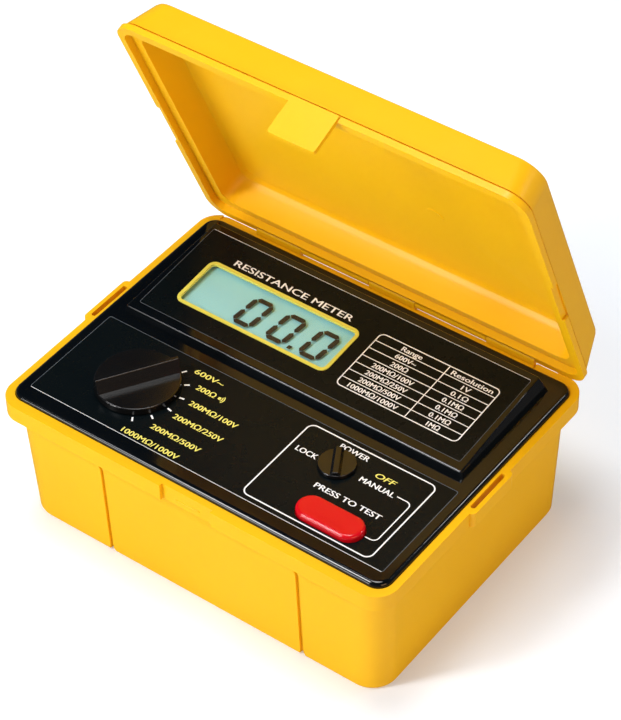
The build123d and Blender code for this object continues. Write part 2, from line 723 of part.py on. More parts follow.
def jack_nuts():
    """Nuts behind the back wall that clamp the two socket housings."""
    nuts = []
    for x in JACKS.values():
        ring = extrude(RegularPolygon(6.0, 6, major_radius=False), 3.0)
        nut = Pos(x, 67.4, JACK_Z) * Rot(90, 0, 0) * ring
        nuts.append(nut - rod_y(4.6, 60.0, 70.0, x, JACK_Z))
    return Compound(nuts)


def transformer_core():
    """The ferrite core of the high voltage converter."""
    core = block(-8, 18, -56, -34, 24.0, 44.0)
    return core - block(-5, 15, -57, -33, 28.0, 40.0) + block(1, 9, -56, -34, 27.0, 41.0)


def transformer_coil():
    """The wound bobbin around the core's middle limb."""
    coil = block(-4.6, 14.6, -58, -32, 28.3, 39.7)
    return coil - block(0.8, 9.2, -56.2, -33.8, 27.0, 41.0)


def below_board(radius, height, spots):
    """Round components hanging under the main board."""
    top = BOARD_TOP - BOARD_T
    return Compound([rod(radius, top - height, top, x, y) for x, y in spots])


def high_voltage_capacitors():
    """Film capacitors of the voltage multiplier."""
    top = BOARD_TOP - BOARD_T
    spots = ((32, -44), (44, -44), (56, -44), (68, -44))
    return Compound([slab(7.0, 16.0, 1.5, top - 12, top, x, y) for x, y in spots])


def reservoir_capacitors():
    """Electrolytic capacitors that steady the supply."""
    return below_board(5.0, 16.0, ((36, -14), (50, -14), (64, -14)))


def range_resistors():
    """Precision resistors of the measuring divider."""
    rods = [rod_x(1.2, -30.0, -20.0, y, BOARD_TOP + 1.3) for y in (-52, -47, -42, -37, -32, -27)]
    return Compound(rods)


def fuse_holder():
    """Clips and base of the protection fuse."""
    base = block(-70, -44, -2, 6, BOARD_TOP, BOARD_TOP + 2)
    for x in (-66.5, -47.5):
        base += block(x - 1.5, x + 1.5, -1.6, 5.6, BOARD_TOP + 1.9, BOARD_TOP + 7.6)
    return base - rod_x(2.6, -72, -42, 2.0, BOARD_TOP + 5.2)


def fuse():
    """A glass fuse in its clips."""
    return rod_x(2.55, -67.0, -47.0, 2.0, BOARD_TOP + 5.2)


def sounder():
    """The buzzer for the continuity range."""
    body = rod(8.0, BOARD_TOP, BOARD_TOP + 9, 0, -40)
    return body - rod(1.5, BOARD_TOP + 6, BOARD_TOP + 10, 0, -40)


def control_chip():
    """The controller of the converter, in a flat package."""
    return block(12, 30, 6, 13.5, BOARD_TOP, BOARD_TOP + 3.0)


def board_link():
    """The pin header between the display board and the main board."""
    high = DECK_Z0 - 10.4
    return block(-52, -12, 10.0, 12.6, BOARD_TOP, high + DECK_SLOPE * 10)


def trimmers():
    """Adjusting resistors for calibration."""
    return Compound([block(x, x + 7, 20, 27, BOARD_TOP, BOARD_TOP + 5) for x in (30, 42, 54)])


def write(node, shape):
    """Writes one node."""
    export_step(shape, "parts/" + node + ".step")


def main():
    os.makedirs("parts", exist_ok=True)
    makers = (
        case_tub, hinge_pin, lid, control_panel, lower_faceplate, upper_faceplate, lcd_bezel, lcd_window,
        lcd_glass, lcd_holder, contact_strips, display_board, display_chip, range_knob, range_shaft,
        range_wiper, range_switch_body, range_switch_nut, power_knob, power_shaft, power_wiper,
        power_switch_body, power_switch_nut, switch_pins, test_button, test_plunger, test_spring,
        test_switch, main_board, panel_screws, board_screws, cover_screws, battery_cover,
        battery_contacts, jack_nuts, transformer_core, transformer_coil, high_voltage_capacitors,
        reservoir_capacitors, range_resistors, fuse_holder, fuse, sounder, control_chip, board_link,
        trimmers,
    )  # fmt: skip
    for maker in makers:
        write(maker.__name__, maker())
    for name, x in JACKS.items():
        write(name + "_jack_housing", jack_housing(x))
        write(name + "_jack_socket", jack_socket(x))
    write("rubber_feet", Compound([rubber_foot(x, y) for x, y in FEET]))
    for row in range(4):
        for column in range(2):
            write("battery_cell_" + str(2 * row + column + 1), battery_cell(row, column))


main()
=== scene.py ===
import json
import math

import bmesh
import bpy
from mathutils import Matrix, Vector


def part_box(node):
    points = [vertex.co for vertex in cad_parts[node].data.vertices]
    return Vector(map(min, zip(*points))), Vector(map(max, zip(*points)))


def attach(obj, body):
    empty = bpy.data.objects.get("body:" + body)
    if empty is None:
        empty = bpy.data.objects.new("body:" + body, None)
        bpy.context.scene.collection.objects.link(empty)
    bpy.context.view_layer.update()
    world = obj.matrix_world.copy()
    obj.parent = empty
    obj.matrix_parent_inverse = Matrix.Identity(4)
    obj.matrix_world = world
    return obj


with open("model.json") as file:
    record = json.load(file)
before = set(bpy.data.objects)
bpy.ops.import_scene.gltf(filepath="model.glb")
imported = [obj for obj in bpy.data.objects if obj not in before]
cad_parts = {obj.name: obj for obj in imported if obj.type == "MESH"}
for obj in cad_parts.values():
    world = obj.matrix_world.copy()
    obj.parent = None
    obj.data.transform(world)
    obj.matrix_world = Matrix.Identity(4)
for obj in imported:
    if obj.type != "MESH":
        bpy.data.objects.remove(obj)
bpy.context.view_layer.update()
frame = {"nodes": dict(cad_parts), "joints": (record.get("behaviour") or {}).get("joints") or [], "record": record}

MM = 0.001
NODES = frame["nodes"]
JOINTS = {joint["name"]: joint for joint in frame["joints"]}


def top_of(node):
    """Height of a node's highest point, in millimetres."""
    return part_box(node)[1].z / MM


# ---------------------------------------------------------------- layout, in millimetres

INK = 0.03  # thickness of every printed line and letter
PANEL_Z = top_of("lower_faceplate")  # the printed side of the lower sheet
DECK_Z = 71.9  # the printed side of the deck's sheet, above the origin
DECK_ANGLE = math.atan(0.08)  # the deck rises 8 in 100 towards the back

PANEL_PLANE = Matrix.Translation((0, 0, PANEL_Z * MM)) @ Matrix.Scale(MM, 4)
DECK_PLANE = Matrix.Translation((0, 0, DECK_Z * MM))
DECK_PLANE = DECK_PLANE @ Matrix.Rotation(DECK_ANGLE, 4, "X") @ Matrix.Scale(MM, 4)

# Outlines are (left, front, right, back).
LOWER_FILM = (-90.0, -61.6, 90.0, -9.0)
UPPER_FILM = (-82.8, 2.2, 82.8, 54.6)
LOWER_FILM_RADIUS = 1.0
UPPER_FILM_RADIUS = 0.8
FILM_CORNER_STEPS = 4
POWER_FIELD = (18.9, -59.0, 81.8, -11.6)
POWER_FIELD_RADIUS = 3.2

RANGE_X = JOINTS["range_turn"]["pos_m"][0] / MM
RANGE_Y = JOINTS["range_turn"]["pos_m"][1] / MM
RANGE_STEP_DEG = 23.0
RANGE_FIRST_DEG = 57.5
TICK_RADII = (19.3, 21.6)
TICK_WIDTH = 0.75


# ---------------------------------------------------------------- material helpers


class Nodes:
    """A small helper that adds and joins shader nodes."""

    def __init__(self, name):
        self.material = bpy.data.materials.new(name)
        self.material.use_nodes = True
        self.tree = self.material.node_tree
        self.tree.nodes.clear()
        self.shader = self.add("ShaderNodeBsdfPrincipled")
        self.output = self.add("ShaderNodeOutputMaterial")
        self.link(self.shader, "BSDF", self.output, "Surface")
        self.place = self.add("ShaderNodeTexCoord")

    def add(self, kind, **values):
        node = self.tree.nodes.new(kind)
        for key, value in values.items():
            setattr(node, key, value)
        return node

    def link(self, source, output, target, inlet):
        self.tree.links.new(source.outputs[output], target.inputs[inlet])

    def noise(self, scale, detail=3.0, rough=0.55, stretch=None):
        """A noise texture over the object's own coordinates; scale is in features per metre."""
        node = self.add("ShaderNodeTexNoise")
        node.inputs["Scale"].default_value = scale
        node.inputs["Detail"].default_value = detail
        node.inputs["Roughness"].default_value = rough
        if stretch is None:
            self.link(self.place, "Object", node, "Vector")
            return node
        mapping = self.add("ShaderNodeMapping")
        mapping.inputs["Scale"].default_value = stretch
        self.link(self.place, "Object", mapping, "Vector")
        self.link(mapping, "Vector", node, "Vector")
        return node

    def ramp(self, source, low, high, first, second):
        """Turns a value into a colour or grey between two stops."""
        node = self.add("ShaderNodeValToRGB")
        node.color_ramp.elements[0].position = low
        node.color_ramp.elements[1].position = high
        node.color_ramp.elements[0].color = first
        node.color_ramp.elements[1].color = second
        self.link(source, "Fac", node, "Fac")
        return node

    def spread(self, source, low, high, output="Fac"):
        """Maps a 0 to 1 value onto a range."""
        node = self.add("ShaderNodeMapRange")
        node.inputs["To Min"].default_value = low
        node.inputs["To Max"].default_value = high
        self.link(source, output, node, "Value")
        return node

    def blend(self, source, output, first, second):
        """Mixes a ramp's colour with a fixed one, by another node's value."""
        node = self.add("ShaderNodeMix", data_type="RGBA")
        node.inputs["B"].default_value = second
        self.link(source, output, node, "Factor")
        self.link(first, "Color", node, "A")
        self.link(node, "Result", self.shader, "Base Color")

    def bump(self, source, depth, after=None):
        """Adds relief of a given depth in metres, on top of an earlier bump."""
        node = self.add("ShaderNodeBump")
        node.inputs["Strength"].default_value = 1.0
        node.inputs["Distance"].default_value = depth
        self.link(source, "Fac", node, "Height")
        if after is not None:
            self.link(after, "Normal", node, "Normal")
        return node

    def set(self, **values):
        """Sets constants on the shader's own sockets."""
        for key, value in values.items():
            self.shader.inputs[key.replace("_", " ")].default_value = value
        return self


def grey(value):
    """An opaque grey."""
    return (value, value, value, 1.0)


def colour(red, green, blue):
    """An opaque colour."""
    return (red, green, blue, 1.0)


# ---------------------------------------------------------------- materials
# Noise scales are features per metre, and relief depths are in metres.

MOULDED_GRAIN = 2600.0
MOULDED_FLOW_DEPTH = 0.00004
CASE_GRAIN_DEPTH = 0.000022
CASE_FLOW_DEPTH = 0.00008
METAL_RELIEF = 0.000006
INK_RELIEF = 0.000004
GLOSS_RIPPLE = 0.00002
FILM_PEBBLE = 0.000016
REFLECTOR_RELIEF = 0.000004


def moulded(name, base, shade, rough, grain_depth, gloss=0.5):
    """Moulded plastic: slight colour drift, fine spark-eroded grain and faint flow marks."""
    m = Nodes(name)
    drift = m.noise(22.0, 4.0)
    tone = m.ramp(drift, 0.3, 0.72, base, shade)
    m.link(tone, "Color", m.shader, "Base Color")
    grain = m.noise(MOULDED_GRAIN, 2.0, 0.6)
    flow = m.noise(90.0, 3.0, 0.5, stretch=(1.0, 1.0, 2.5))
    fine = m.bump(grain, grain_depth)
    broad = m.bump(flow, MOULDED_FLOW_DEPTH, after=fine)
    m.link(broad, "Normal", m.shader, "Normal")
    patch = m.noise(45.0, 5.0)
    level = m.spread(patch, rough - 0.05, rough + 0.06)
    m.link(level, "Result", m.shader, "Roughness")
    m.set(Specular_IOR_Level=gloss)
    return m.material


def metal(name, base, shade, rough, stretch=(1.0, 1.0, 1.0)):
    """Plated or turned metal with fine directional marks."""
    m = Nodes(name)
    marks = m.noise(1800.0, 3.0, 0.6, stretch=stretch)
    tone = m.ramp(marks, 0.3, 0.7, base, shade)
    m.link(tone, "Color", m.shader, "Base Color")
    level = m.spread(marks, rough - 0.07, rough + 0.1)
    m.link(level, "Result", m.shader, "Roughness")
    relief = m.bump(marks, METAL_RELIEF)
    m.link(relief, "Normal", m.shader, "Normal")
    m.set(Metallic=1.0)
    return m.material


def ink(name, base, shade):
    """Screen-printed ink: a slightly uneven, semi-matt layer."""
    m = Nodes(name)
    film = m.noise(900.0, 3.0)
    tone = m.ramp(film, 0.25, 0.75, base, shade)
    m.link(tone, "Color", m.shader, "Base Color")
    relief = m.bump(m.noise(5000.0, 1.0), INK_RELIEF)
    m.link(relief, "Normal", m.shader, "Normal")
    level = m.spread(film, 0.42, 0.58)
    m.link(level, "Result", m.shader, "Roughness")
    return m.material


def yellow_abs():
    """The case's warm yellow ABS, with fine grain and a few rubbed spots."""
    m = Nodes("yellow_abs")
    drift = m.noise(14.0, 4.0)
    tone = m.ramp(drift, 0.28, 0.75, colour(0.88, 0.47, 0.004), colour(0.91, 0.50, 0.006))
    rub = m.noise(130.0, 6.0, 0.65)
    spots = m.ramp(rub, 0.62, 0.74, grey(0.0), grey(0.16))
    m.blend(spots, "Color", tone, colour(0.93, 0.57, 0.02))
    grain = m.noise(2400.0, 2.0, 0.6)
    flow = m.noise(60.0, 3.0)
    fine = m.bump(grain, CASE_GRAIN_DEPTH)
    broad = m.bump(flow, CASE_FLOW_DEPTH, after=fine)
    m.link(broad, "Normal", m.shader, "Normal")
    level = m.spread(m.noise(38.0, 5.0), 0.28, 0.4)
    m.link(level, "Result", m.shader, "Roughness")
    m.set(Specular_IOR_Level=0.26, Subsurface_Weight=0.06, Subsurface_Scale=0.004)
    m.shader.inputs["Subsurface Radius"].default_value = (1.0, 0.5, 0.15)
    return m.material


def gloss_black():
    """The panel's polished black plastic, with hairline marks in its finish."""
    m = Nodes("gloss_black")
    haze = m.noise(60.0, 5.0)
    tone = m.ramp(haze, 0.3, 0.8, colour(0.002, 0.003, 0.004), colour(0.003, 0.004, 0.005))
    m.link(tone, "Color", m.shader, "Base Color")
    hair = m.noise(500.0, 4.0, 0.7, stretch=(1.0, 9.0, 1.0))
    level = m.ramp(hair, 0.55, 0.8, grey(0.09), grey(0.2))
    m.link(level, "Color", m.shader, "Roughness")
    relief = m.bump(m.noise(120.0, 2.0), GLOSS_RIPPLE)
    m.link(relief, "Normal", m.shader, "Normal")
    m.set(Specular_IOR_Level=0.42)
    return m.material


def printed_film(name, base, shade):
    """Textured printed film over the panel: semi-matt, with a fine pebbled grain."""
    m = Nodes(name)
    drift = m.noise(18.0, 3.0)
    tone = m.ramp(drift, 0.3, 0.75, base, shade)
    m.link(tone, "Color", m.shader, "Base Color")
    pebble = m.noise(3600.0, 2.0, 0.55)
    relief = m.bump(pebble, FILM_PEBBLE)
    m.link(relief, "Normal", m.shader, "Normal")
    level = m.spread(m.noise(70.0, 4.0), 0.22, 0.32)
    m.link(level, "Result", m.shader, "Roughness")
    m.set(Specular_IOR_Level=0.1)
    return m.material


def clear_window():
    """Clear acrylic over the display: thin, with a faint haze."""
    m = Nodes("clear_acrylic")
    haze = m.noise(90.0, 4.0)
    level = m.spread(haze, 0.04, 0.09)
    m.link(level, "Result", m.shader, "Roughness")
    tone = m.ramp(haze, 0.3, 0.8, colour(0.86, 0.93, 0.9), colour(0.92, 0.96, 0.94))
    m.link(tone, "Color", m.shader, "Base Color")
    m.set(Alpha=0.012, Specular_IOR_Level=0.1)
    return m.material


def lcd_back():
    """The display's reflector: pale blue-green and finely brushed."""
    m = Nodes("lcd_reflector")
    brushed = m.noise(1500.0, 3.0, 0.6, stretch=(1.0, 14.0, 1.0))
    tone = m.ramp(brushed, 0.3, 0.7, colour(0.31, 0.71, 0.78), colour(0.34, 0.75, 0.82))
    m.link(tone, "Color", m.shader, "Base Color")
    relief = m.bump(brushed, REFLECTOR_RELIEF)
    m.link(relief, "Normal", m.shader, "Normal")
    level = m.spread(brushed, 0.34, 0.5)
    m.link(level, "Result", m.shader, "Roughness")
    m.set(Specular_IOR_Level=0.4)
    return m.material


def lcd_dark():
    """The near-black of a driven display segment."""
    m = Nodes("lcd_segment")
    film = m.noise(1200.0, 2.0)
    tone = m.ramp(film, 0.3, 0.8, colour(0.002, 0.004, 0.005), colour(0.005, 0.007, 0.008))
    m.link(tone, "Color", m.shader, "Base Color")
    level = m.spread(film, 0.3, 0.42)
    m.link(level, "Result", m.shader, "Roughness")
    return m.material


FLOOR_GLOW = 0.2  # emission that keeps the floor pale away from the lamps
MIRRORED_FLOOR = 0.12  # the floor's grey as the glossy parts see it


def floor_paint():
    """A plain pale studio floor that shows dark in reflections, so that black plastic stays black."""
    m = Nodes("studio_floor")
    mottle = m.noise(6.0, 3.0)
    tone = m.ramp(mottle, 0.3, 0.7, colour(0.79, 0.86, 0.93), colour(0.81, 0.88, 0.95))
    ray = m.add("ShaderNodeLightPath")
    m.blend(ray, "Is Glossy Ray", tone, grey(MIRRORED_FLOOR))
    glow = m.spread(ray, FLOOR_GLOW, 0.0, output="Is Glossy Ray")
    m.link(glow, "Result", m.shader, "Emission Strength")
    level = m.spread(mottle, 0.7, 0.8)
    m.link(level, "Result", m.shader, "Roughness")
    m.set(Emission_Color=grey(1.0), Specular_IOR_Level=0.1)
    return m.material


CASE_YELLOW = yellow_abs()
MATERIALS = {
    "yellow_case": CASE_YELLOW,
    "battery_cover_yellow": CASE_YELLOW,
    "black_panel": gloss_black(),
    "printed_sheet": printed_film(
        "printed_film", colour(0.002, 0.004, 0.005), colour(0.003, 0.005, 0.006)
    ),
    "yellow_bezel": moulded(
        "yellow_ring", colour(0.72, 0.68, 0.09), colour(0.78, 0.72, 0.12), 0.3, 0.000004
    ),
    "clear_window": clear_window(),
    "display_cell": lcd_back(),
    "conductive_rubber": moulded("black_rubber", grey(0.02), grey(0.03), 0.75, 0.00003),
    "circuit_board": moulded(
        "solder_mask", colour(0.01, 0.16, 0.05), colour(0.015, 0.2, 0.07), 0.35, 0.00001
    ),
    "chip_black": moulded("moulded_epoxy", grey(0.02), grey(0.03), 0.6, 0.00002),
    "knob_black": moulded("knob_plastic", grey(0.003), grey(0.005), 0.2, 0.000007, gloss=0.5),
    "switch_plastic": moulded("switch_plastic", grey(0.08), grey(0.1), 0.5, 0.00002),
    "nickel": metal("nickel_plate", colour(0.62, 0.6, 0.55), colour(0.7, 0.68, 0.64), 0.25),
    "steel": metal(
        "zinc_steel", colour(0.5, 0.5, 0.51), colour(0.6, 0.6, 0.61), 0.3, (6.0, 1.0, 1.0)
    ),
    "button_red": moulded(
        "red_button", colour(0.56, 0.002, 0.008), colour(0.62, 0.004, 0.011), 0.16, 0.000004, gloss=0.4
    ),
    "cell_can": moulded(
        "cell_sleeve", colour(0.03, 0.05, 0.09), colour(0.05, 0.07, 0.12), 0.3, 0.000004
    ),
    "jack_red": moulded(
        "red_insulator", colour(0.5, 0.01, 0.01), colour(0.56, 0.015, 0.015), 0.28, 0.000008
    ),
    "jack_black": moulded("black_insulator", grey(0.012), grey(0.018), 0.3, 0.000008),
    "socket_brass": metal(
        "socket_metal", colour(0.66, 0.55, 0.32), colour(0.74, 0.64, 0.42), 0.25, (1, 7, 1)
    ),
    "ferrite": moulded("ferrite", grey(0.05), grey(0.08), 0.5, 0.00003),
    "winding": moulded(
        "winding_tape", colour(0.6, 0.4, 0.05), colour(0.7, 0.5, 0.08), 0.4, 0.00002
    ),
    "capacitor_film": moulded(
        "dipped_film", colour(0.3, 0.03, 0.01), colour(0.36, 0.05, 0.02), 0.25, 0.00001
    ),
    "capacitor_can": moulded(
        "shrink_sleeve", colour(0.01, 0.02, 0.08), colour(0.02, 0.03, 0.1), 0.3, 0.00001
    ),
}
WHITE_INK = ink("white_ink", colour(0.84, 0.87, 0.90), colour(0.90, 0.93, 0.95))
YELLOW_INK = ink("yellow_ink", colour(0.78, 0.72, 0.12), colour(0.86, 0.8, 0.18))
FILM_EDGE = ink("film_edge", colour(0.05, 0.065, 0.08), colour(0.10, 0.12, 0.14))
# pale ink that paints the highlight along the sheets' lit edges
PAINTED_EDGE_HIGHLIGHT = ink("film_edge_painted_highlight", colour(0.50, 0.52, 0.54), colour(0.70, 0.72, 0.73))
SEGMENT = lcd_dark()


def dress_nodes():
    """Gives every CAD node the material of its slot."""
    slots = {entry["node"]: entry["material_slot"] for entry in frame["record"]["subparts"]}
    for name, node in NODES.items():
        material = MATERIALS[slots[name]]
        node.data.materials.clear()
        node.data.materials.append(material)
        for polygon in node.data.polygons:
            polygon.material_index = 0


EDGE_WELD = 0.003  # mm
EDGE_SEGMENTS = 3
EDGE_ANGLE_DEG = 28.0


def soften(name, width):
    """Rounds a CAD node's sharp edges a little, as a moulding's are."""
    node = NODES[name]
    weld = node.modifiers.new("weld", "WELD")
    weld.merge_threshold = EDGE_WELD * MM
    bevel = node.modifiers.new("edge_round", "BEVEL")
    bevel.width = width * MM
    bevel.segments = EDGE_SEGMENTS
    bevel.limit_method = "ANGLE"
    bevel.angle_limit = math.radians(EDGE_ANGLE_DEG)
    bevel.harden_normals = True
    bevel.use_clamp_overlap = True
    shade = node.modifiers.new("normals", "WEIGHTED_NORMAL")
    shade.keep_sharp = True
    for polygon in node.data.polygons:
        polygon.use_smooth = True


# ---------------------------------------------------------------- flat printed pieces


def build(name, mesh_work, material):
    """Makes an object from a bmesh, and makes it ride on the case."""
    mesh = bpy.data.meshes.new(name)
    mesh_work.normal_update()
    mesh_work.to_mesh(mesh)
    mesh_work.free()
    piece = bpy.data.objects.new(name, mesh)
    bpy.context.scene.collection.objects.link(piece)
    mesh.materials.append(material)
    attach(piece, "case")


MITRE_LEAST = 0.3  # keeps a sharp corner's mitre from running far out


def offset_points(points, closed, distance):
    """Points moved sideways along a line's mitred normals."""
    count = len(points)
    moved = []
    for i, point in enumerate(points):
        first = second = None
        if closed or i:
            first = (point - points[i - 1]).normalized()
        if closed or i < count - 1:
            second = (points[(i + 1) % count] - point).normalized()
        first = first or second
        second = second or first
        normal = Vector((-(first + second).y, (first + second).x)).normalized()
        stretch = normal.dot(Vector((-first.y, first.x)))
        moved.append(point + normal * distance / max(stretch, MITRE_LEAST))
    return moved


def add_ribbon(work, points, width, plane, closed=False, lift=0.0):
    """Adds a flat ribbon of ink that follows a line, as a thin closed solid."""
    points = [Vector(p) for p in points]
    left = offset_points(points, closed, width / 2)
    right = offset_points(points, closed, -width / 2)
    rings = []
    for a, b in zip(left, right):
        ring = []
        for (x, y), z in ((a, lift), (b, lift), (b, lift + INK), (a, lift + INK)):
            ring.append(work.verts.new(plane @ Vector((x, y, z))))
        rings.append(ring)
    pairs = list(zip(rings, rings[1:]))
    if closed:
        pairs.append((rings[-1], rings[0]))
    else:
        work.faces.new(rings[0])
        work.faces.new(rings[-1][::-1])
    for one, two in pairs:
        for k in range(4):
            work.faces.new((one[k], two[k], two[(k + 1) % 4], one[(k + 1) % 4]))


def arc(x, y, radius, angles_deg):
    """Points on a circle at the given angles."""
    turns = [math.radians(angle) for angle in angles_deg]
    return [(x + radius * math.cos(a), y + radius * math.sin(a)) for a in turns]


def rounded(outline, radius, steps=8):
    """The outline of a rounded rectangle."""
    x0, y0, x1, y1 = outline
    points = []
    corners = ((x1 - radius, y1 - radius, 0), (x0 + radius, y1 - radius, 90))
    corners += ((x0 + radius, y0 + radius, 180), (x1 - radius, y0 + radius, 270))
    for x, y, start in corners:
        points += arc(x, y, radius, [start + 90 * k / steps for k in range(steps + 1)])
    return points


FONT_CAP = 0.729  # capital height of the built-in font at size 1
FONT_WELD = 0.0005
LETTER_BOLD = 0.09  # every word is struck twice, this far to either side
STRIKE_LIFT = 0.004  # keeps the faces of the two strikes apart


def add_text(work, words, plane, left, base, height, width, slant=0.0, centre=False):
    """Adds raised ink lettering of a given capital height, squeezed to a given width."""
    curve = bpy.data.curves.new("lettering", "FONT")
    curve.body = words
    curve.size = 1.0
    curve.resolution_u = 3
    holder = bpy.data.objects.new("lettering", curve)
    bpy.context.scene.collection.objects.link(holder)
    bpy.context.view_layer.update()
    mesh = bpy.data.meshes.new_from_object(holder)
    xs = [v.co.x for v in mesh.vertices]
    start, end = min(xs), max(xs)
    tall = height / FONT_CAP
    wide = width / (end - start)
    if centre:
        left -= width / 2
    for v in mesh.vertices:
        x = (v.co.x - start) * wide + v.co.y * tall * slant
        v.co = (left + x, base + v.co.y * tall, INK)
    piece = bmesh.new()
    piece.from_mesh(mesh)
    bmesh.ops.remove_doubles(piece, verts=piece.verts, dist=FONT_WELD)
    made = bmesh.ops.extrude_face_region(piece, geom=piece.faces[:])
    moved = [g for g in made["geom"] if isinstance(g, bmesh.types.BMVert)]
    bmesh.ops.translate(piece, verts=moved, vec=(0, 0, -INK))
    bmesh.ops.recalc_face_normals(piece, faces=piece.faces[:])
    joined = bpy.data.meshes.new("lettering")
    piece.to_mesh(joined)
    piece.free()
    for shift, lift in ((-LETTER_BOLD, 0.0), (LETTER_BOLD, STRIKE_LIFT)):
        struck = joined.copy()
        struck.transform(plane @ Matrix.Translation((shift, 0, lift)))
        work.from_mesh(struck)
        bpy.data.meshes.remove(struck)
    bpy.data.objects.remove(holder)
    bpy.data.curves.remove(curve)
    bpy.data.meshes.remove(mesh)
    bpy.data.meshes.remove(joined)


SOUND_SIGN = (-20.8, -21.9, 1.9)  # place and size
SOUND_DOT = (0.28, 0.3)  # radius and stroke, in sizes
SOUND_ARCS = (0.75, 1.2)
SOUND_STROKE = 0.22
SOUND_HALF_DEG = 50
SOUND_STEPS = 8


def sound_waves(work, plane):
    """A dot and two arcs: the sign for an audible test."""
    x, y, size = SOUND_SIGN
    radius, stroke = SOUND_DOT
    add_ribbon(work, arc(x, y, radius * size, range(0, 360, 72)), stroke * size, plane, closed=True)
    step = 2 * SOUND_HALF_DEG / SOUND_STEPS
    angles = [-SOUND_HALF_DEG + step * k for k in range(SOUND_STEPS + 1)]
    for radius in SOUND_ARCS:
        add_ribbon(work, arc(x, y, radius * size, angles), SOUND_STROKE * size, plane)


LEGEND_CAP = 2.9
# Words, left end, middle height, width.
RANGE_LEGENDS = (
    ("600V~", -39.2, -14.5, 14.8),
    ("200Ω", -32.6, -21.8, 9.6),
    ("200MΩ/100V", -29.3, -30.8, 24.5),
    ("200MΩ/250V", -30.0, -40.6, 25.1),
    ("200MΩ/500V", -33.8, -50.5, 25.0),
    ("1000MΩ/1000V", -42.5, -58.8, 29.0),
)
POWER_LEGENDS = (
    ("LOCK", 22.1, -26.0, 10.3),
    ("POWER", 36.3, -14.9, 14.1),
    ("MANUAL", 53.6, -25.4, 16.6),
    ("PRESS TO TEST", 40.7, -38.5, 32.2),
)
OFF_LEGEND = ("OFF", 57.2, -20.0, 9.3)
OFF_SLANT = 0.25


def legend(work, entry, slant=0.0):
    """Adds one legend to the panel's print."""
    words, left, middle, width = entry
    add_text(work, words, PANEL_PLANE, left, middle - LEGEND_CAP / 2, LEGEND_CAP, width, slant)


def range_print():
    """Tick marks and legends round the range knob."""
    work = bmesh.new()
    for entry in RANGE_LEGENDS:
        legend(work, entry)
    sound_waves(work, PANEL_PLANE)
    build("range_legends", work, YELLOW_INK)
    work = bmesh.new()
    for k in range(len(RANGE_LEGENDS)):
        angle = RANGE_FIRST_DEG - RANGE_STEP_DEG * k
        ends = [arc(RANGE_X, RANGE_Y, radius, [angle])[0] for radius in TICK_RADII]
        add_ribbon(work, ends, TICK_WIDTH, PANEL_PLANE)
    build("range_ticks", work, WHITE_INK)


FIELD_LINE = 0.6
BRACKET_LINE = 0.5
BRACKET_START = (71.4, -25.2)
BRACKET_END = (73.6, -50.2)
BRACKET_RIGHT = 78.6
BRACKET_RADIUS = 2.4
BRACKET_BENDS = (68, 45, 22)


def bracket_points():
    """The line from the MANUAL legend down to the button's legend, with two round corners."""
    x = BRACKET_RIGHT - BRACKET_RADIUS
    high = BRACKET_START[1] - BRACKET_RADIUS
    low = BRACKET_END[1] + BRACKET_RADIUS
    points = [BRACKET_START, (x, BRACKET_START[1])]
    points += arc(x, high, BRACKET_RADIUS, BRACKET_BENDS)
    points += [(BRACKET_RIGHT, high), (BRACKET_RIGHT, low)]
    points += arc(x, low, BRACKET_RADIUS, [-bend for bend in reversed(BRACKET_BENDS)])
    return points + [(x, BRACKET_END[1]), BRACKET_END]


def power_print():
    """The outlined power and test field with its legends."""
    work = bmesh.new()
    outline = rounded(POWER_FIELD, POWER_FIELD_RADIUS)
    add_ribbon(work, outline, FIELD_LINE, PANEL_PLANE, closed=True)
    add_ribbon(work, bracket_points(), BRACKET_LINE, PANEL_PLANE)
    for entry in POWER_LEGENDS:
        legend(work, entry)
    build("power_legends", work, WHITE_INK)
    work = bmesh.new()
    legend(work, OFF_LEGEND, OFF_SLANT)
    build("off_legend", work, YELLOW_INK)


TITLE = ("RESISTANCE METER", -62.0, 41.4, 3.6, 62.5)  # words, left, base, capitals, width
TABLE_X = (15.45, 50.3, 75.75)
TABLE_Y = (9.75, 43.2)
TABLE_RADIUS = 2.4
TABLE_LINES = (0.5, 0.45, 0.4)  # frame, column, rows
TABLE_CAP = 2.6
TABLE_BASE = 1.05  # from a row's lower line to its letters
TABLE_LETTER = 2.05  # width of a letter where the row has room
TABLE_MARGIN = 3.0
TABLE_ROWS = (
    ("Range", "Resolution"),
    ("600V~", "1V"),
    ("200Ω", "0.1Ω"),
    ("200MΩ/100V", "0.1MΩ"),
    ("200MΩ/250V", "0.1MΩ"),
    ("200MΩ/500V", "0.1MΩ"),
    ("1000MΩ/1000V", "1MΩ"),
)


def deck_print():
    """The title and the table of ranges on the display deck."""
    work = bmesh.new()
    words, left, base, cap, width = TITLE
    add_text(work, words, DECK_PLANE, left, base, cap, width)
    build("deck_title", work, WHITE_INK)
    work = bmesh.new()
    low, high = TABLE_Y
    start, column, end = TABLE_X
    frame_line, column_line, row_line = TABLE_LINES
    pitch = (high - low) / len(TABLE_ROWS)
    outline = rounded((start, low, end, high), TABLE_RADIUS)
    add_ribbon(work, outline, frame_line, DECK_PLANE, closed=True)
    add_ribbon(work, [(column, low), (column, high)], column_line, DECK_PLANE)
    for k in range(1, len(TABLE_ROWS)):
        y = high - k * pitch
        add_ribbon(work, [(start, y), (end, y)], row_line, DECK_PLANE)
    for k, row in enumerate(TABLE_ROWS):
        base = high - (k + 1) * pitch + TABLE_BASE
        for words, left, right in zip(row, TABLE_X, TABLE_X[1:]):
            width = min(TABLE_LETTER * len(words), right - left - TABLE_MARGIN)
            add_text(work, words, DECK_PLANE, (left + right) / 2, base, TABLE_CAP, width, centre=True)
    build("range_table", work, WHITE_INK)


